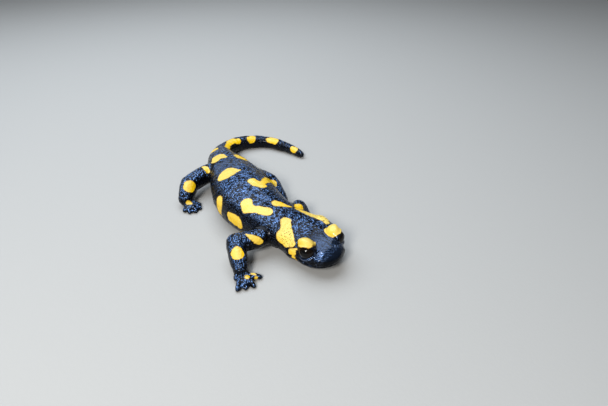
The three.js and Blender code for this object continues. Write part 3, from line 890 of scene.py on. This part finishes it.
# Moist rims and the snout's top take the painted sheen colour in full, as painted highlights.
painted_crest_sheen = math_node(wet_skin, "MAXIMUM", painted_crest_sheen, is_moist)
black_with_painted_sheen = colour_mix(wet_skin, painted_crest_sheen, GROOVE_BLACK, PAINTED_SKY_SHEEN)
skin_colour = colour_mix(wet_skin, is_yellow, black_with_painted_sheen, yellow_colour)
oily = mapped(wet_skin, is_yellow, 0.0, 1.0, 0.9, 0.0)
coat = mapped(wet_skin, is_moist, 0.0, 1.0, 0.15, 0.9)

smooth = mapped(wet_skin, in_blotch, -0.3, 0.5, 1.0, 0.3)
height = math_node(wet_skin, "MULTIPLY", height, smooth)
height = math_node(wet_skin, "MULTIPLY_ADD", pore, -0.8, height)
height = math_node(wet_skin, "MULTIPLY_ADD", is_yellow, 0.3, height)
skin_bump = node(wet_skin, "Bump", Height=height, Strength=1.0, Distance=0.00022)
wet_noise = node(wet_skin, "TexNoise", Vector=place, Scale=180.0, Detail=3.0).outputs["Fac"]
wetness = mapped(wet_skin, wet_noise, 0.3, 0.7, 0.16, 0.30)
for socket, value in (
    ("Base Color", skin_colour),
    ("Metallic", oily),
    ("Roughness", wetness),
    ("Coat Weight", coat),
    ("Normal", skin_bump.outputs["Normal"]),
):
    wet_skin.node_tree.links.new(value, skin_shader.inputs[socket])
skin_shader.inputs["Specular IOR Level"].default_value = 0.15
skin_shader.inputs["Coat Roughness"].default_value = 0.08

# The lie runs along and round the body or the limb, in mm. The other values say how much relief,
# painted sheen, painted highlight and painted golden shade every point of the skin has.
LIMBS_APART = 200.0
LIMB_ROUND = 3.0  # mm for each radian round a limb
WRINKLES_FROM = (11, 19)
PORES = {"reach": 4.3, "edge": (-1.5, 0.5), "from": (12, 13.5)}
SNOUT_ENDS = (7, 13)
RUMP_FROM = (40, 60)
TAIL_SHEEN_FADES = (88, 100)
PAINTED_SHEEN_FACING = (0.64, 0.98)  # how far up a black part must face for the painted sky sheen to begin, and to be full

way_out = normals(closed_skin, skin)
around_body = body_angle * section(spine.at(body_s, spine.station))[0] * rounding(body_s + 0.3, SNOUT_ROUND)
lie = np.stack([
    np.where(on_limb, limb_d + LIMBS_APART * limb_number, body_s),
    np.where(on_limb, limb_angle * LIMB_ROUND, around_body),
    np.zeros(len(skin)),
], 1)
apart = between(np.abs(body_out - limb_out), 0.2, 1.2)
off_limbs = 1 - on_limb
wrinkled = apart * between(body_s, *WRINKLES_FROM) * (1 - 0.7 * belly * off_limbs) * (1 - 0.5 * flank)
in_gland = [blotch(skin, [(on_head(PAROTOID, side), PORES["reach"])]) for side in SIDES]
gland = between(np.max(in_gland, axis=0), *PORES["edge"]) * between(body_s, *PORES["from"])
# Painted shade: the yellow is deeper on the far side, on the sides and on the tail, and lemon, with painted
# sheen, where it faces up.
far_side_painted_shade = 2.4 * np.clip(way_out[:, 1], 0, 1) * between(body_s, 14, 30)
gold = np.clip(0.9 - 0.95 * way_out[:, 2] + 0.35 * between(body_s, 85, 95) + far_side_painted_shade, 0, 1)
snout = (1 - between(body_s, *SNOUT_ENDS)) * off_limbs
# The snout's top is a little moist and also carries a painted sheen.
moist = np.maximum(moist, 0.3 * snout * between(way_out[:, 2], 0.3, 0.8))
granular = apart * np.clip(0.5 + flank + 0.4 * on_limb, 0, 1) * between(body_s, 0.5, 2) * (1 - moist)
# The painted sky sheen is strongest on the rump and fades down the tail; the snout and the limbs get it at a
# lower slope.
rump = between(body_s, *RUMP_FROM) - 2.4 * between(body_s, *TAIL_SHEEN_FADES)
facing_up = way_out[:, 2] + 0.2 * snout + 0.25 * on_limb
sheen = 0.05 + (0.85 + 0.25 * rump) * between(facing_up, *PAINTED_SHEEN_FACING)
skin_piece = finish_piece(
    "skin", closed_skin, skin, wet_skin,
    yellow=yellow, lie=lie, wrinkled=wrinkled, granular=granular,
    moist=moist, gland=gland, gold=gold, sheen=sheen,
)
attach(skin_piece, "root")
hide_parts(*[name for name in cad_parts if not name.startswith("eye")])

# ---------------------------------------------------------------- eyes
# Two bulging eyeballs under the lids: a clear wet cornea over a near-black pupil, in an iris that is
# only a little browner. Each is a globe with its cornea swollen along the gaze.
PUPIL_BLACK = (0.002, 0.002, 0.002, 1)
IRIS_DARK = (0.002, 0.0015, 0.0012, 1)
IRIS_BROWN = (0.008, 0.005, 0.003, 1)
PUPIL_EDGE = (24.0, 30.0)  # degrees from the gaze
CORNEA = {"edge": 48, "height": 0.16}

wet_eye, eye_shader = principled("wet_eye")
eye_place = node(wet_eye, "TexCoord").outputs["Object"]
iris_noise = node(wet_eye, "TexNoise", Vector=eye_place, Scale=1800.0, Detail=3.0)
iris_colour = colour_mix(wet_eye, iris_noise.outputs["Fac"], IRIS_DARK, IRIS_BROWN)
pupil = mapped(wet_eye, attribute(wet_eye, "from_gaze"), *PUPIL_EDGE, 1.0, 0.0)
eye_colour = colour_mix(wet_eye, pupil, iris_colour, PUPIL_BLACK)
wet_eye.node_tree.links.new(eye_colour, eye_shader.inputs["Base Color"])
eye_shader.inputs["Roughness"].default_value = 0.05
eye_shader.inputs["Specular IOR Level"].default_value = 0.2

for name, side in (("eye_left", 1), ("eye_right", -1)):
    globe = bmesh.new()
    bmesh.ops.create_uvsphere(globe, u_segments=64, v_segments=40, radius=1)
    toward = positions(globe)
    fore, above, gaze = gaze_frame(side)
    from_gaze = np.degrees(np.arccos(np.clip(toward @ gaze, -1, 1)))
    cornea = CORNEA["height"] * (1 - between(from_gaze, 0, CORNEA["edge"]))
    eyeball = on_head(EYE, side) + toward * (EYE["radius"] + cornea)[:, None]
    eye_piece = finish_piece("eyeball" + name[3:], globe, eyeball, wet_eye, from_gaze=from_gaze)
    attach(eye_piece, "root")
    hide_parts(name)
